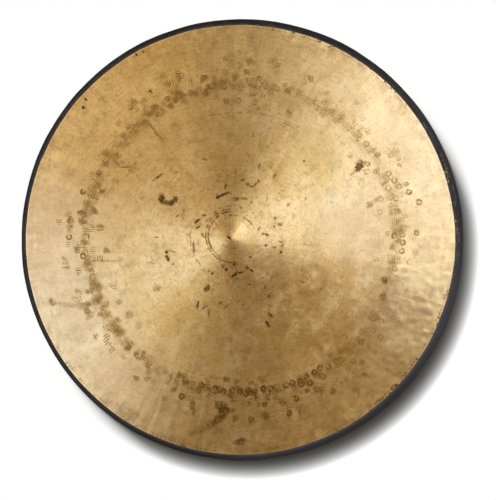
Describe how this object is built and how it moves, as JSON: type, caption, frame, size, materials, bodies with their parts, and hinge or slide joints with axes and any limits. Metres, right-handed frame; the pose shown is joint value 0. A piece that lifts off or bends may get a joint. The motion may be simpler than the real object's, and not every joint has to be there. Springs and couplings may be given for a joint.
{
  "type": "gong",
  "caption": "Round hammered bronze gong with a shallow dished face, a low boss and a turned-back rim drilled for a hanging cord.",
  "frame": {"origin": "on the gong's axis, in the plane of the rim's back edge, which it rests on when it lies face up", "axes": "+Z out of the playing face along the gong's axis, +Y towards the side that is uppermost when it hangs, where the two cord holes are, +X to the right as the face is seen"},
  "size_m": [0.66, 0.66, 0.0594],
  "materials": {
    "bronze": "warm tin bronze, lathed and scraped bright, with hammer marks and brown tarnish spots",
    "forging_scale": "charcoal-black forging scale on hammered bronze, satin, with fine scratches down to the metal"
  },
  "bodies": {
    "root": {"face": "bronze", "rim": "forging_scale"}
  },
  "joints": []
}
